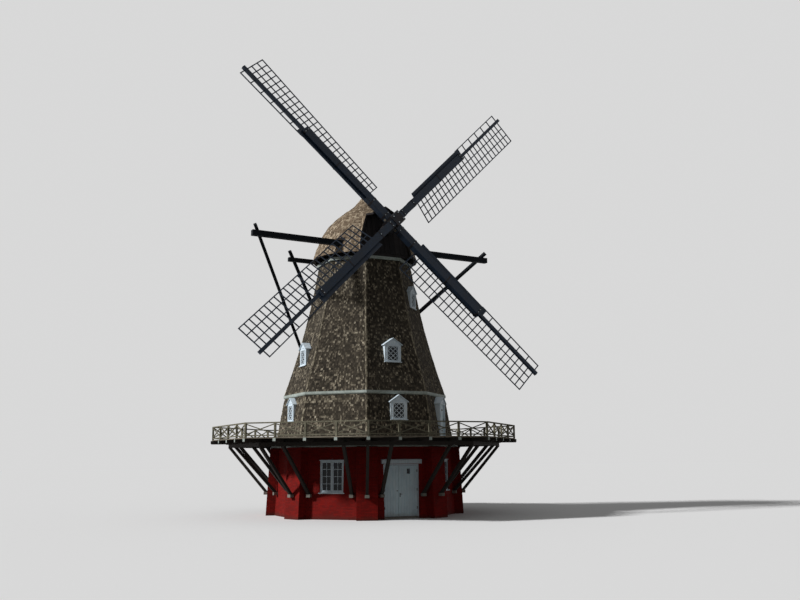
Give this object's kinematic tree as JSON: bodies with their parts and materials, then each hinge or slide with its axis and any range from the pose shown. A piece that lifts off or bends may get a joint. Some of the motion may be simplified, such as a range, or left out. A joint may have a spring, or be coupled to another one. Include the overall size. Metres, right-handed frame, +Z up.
{
  "type": "traditional windmill",
  "caption": "Octagonal gallery windmill with a masonry base, a shingled smock, a railed gallery, double doors and a turning cap with lattice sails.",
  "frame": {"origin": "tower's axis at ground level, on the underside of the ground floor", "axes": "+Z up; -Y is the side of the entrance; +X to the right of someone facing the entrance"},
  "size_m": [17.4335, 15.0374, 23.5282],
  "materials": {
    "red_masonry": "painted brickwork, matt",
    "stone_floor": "matt",
    "pale_stone": "matt",
    "white_woodwork": "painted, satin",
    "door_paint": "painted, satin",
    "weathered_timber": "weathered, matt",
    "dark_timber": "weathered, matt",
    "dark_boards": "tarred, matt",
    "tarred_timber": "tarred, semi-matt",
    "smock_shingles": "weathered shingles, matt",
    "cap_shingles": "weathered shingles, matt",
    "window_glass": "clear over a dark room"
  },
  "bodies": {
    "tower": {"ground_floor": "stone_floor", "entrance_wall_left": "red_masonry", "entrance_wall_right": "red_masonry", "entrance_wall_top": "red_masonry", "base_walls_plain": "red_masonry", "base_walls_windowed": "red_masonry", "corner_piers": "red_masonry", "base_cornice": "white_woodwork", "entrance_frame": "white_woodwork", "entrance_hood": "white_woodwork", "base_window_frames": "white_woodwork", "window_glass": "window_glass", "gallery_beams": "weathered_timber", "gallery_bearers": "dark_timber", "gallery_struts": "dark_timber", "strut_blocks": "pale_stone", "gallery_deck": "weathered_timber", "gallery_railing": "weathered_timber", "skirt_walls_square": "smock_shingles", "skirt_walls_diagonal": "smock_shingles", "smock_band": "white_woodwork", "smock_walls_square": "smock_shingles", "smock_walls_diagonal": "smock_shingles", "smock_windows": "white_woodwork", "gallery_doorways": "white_woodwork", "gallery_doors": "door_paint", "upper_floors": "weathered_timber", "smock_top_band": "white_woodwork", "curb": "dark_timber"},
    "cap": {"cap_ring": "dark_timber", "cap_sheers": "dark_timber", "cap_roof": "cap_shingles", "cap_breast": "dark_boards", "cross_beams": "tarred_timber", "tail_pole": "tarred_timber", "tail_braces": "tarred_timber", "shaft_bearings": "dark_timber"},
    "sails": {"windshaft": "tarred_timber", "outer_stock": "tarred_timber", "inner_stock": "tarred_timber", "sail_lattice_1": "tarred_timber", "sail_lattice_2": "tarred_timber", "sail_lattice_3": "tarred_timber", "sail_lattice_4": "tarred_timber", "wind_boards": "tarred_timber"},
    "door_left_leaf": {"door_left": "door_paint"},
    "door_right_leaf": {"door_right": "door_paint", "door_light": "window_glass"}
  },
  "joints": [
    {"name": "cap_turn", "type": "hinge", "parent": "tower", "child": "cap", "pos_m": [0, 0, 13.4], "axis": [0, 0, 1], "continuous": true},
    {"name": "sails_turn", "type": "hinge", "parent": "cap", "child": "sails", "pos_m": [0.20404, -3.34178, 15.003], "axis": [0.0594, -0.9732, 0.2221], "continuous": true},
    {"name": "door_left_swing", "type": "hinge", "parent": "tower", "child": "door_left_leaf", "pos_m": [-0.882, -4.28, 1.3], "axis": [0, 0, 1], "range_deg": [0, 90]},
    {"name": "door_right_swing", "type": "hinge", "parent": "tower", "child": "door_right_leaf", "pos_m": [0.882, -4.28, 1.3], "axis": [0, 0, -1], "range_deg": [0, 90]}
  ]
}
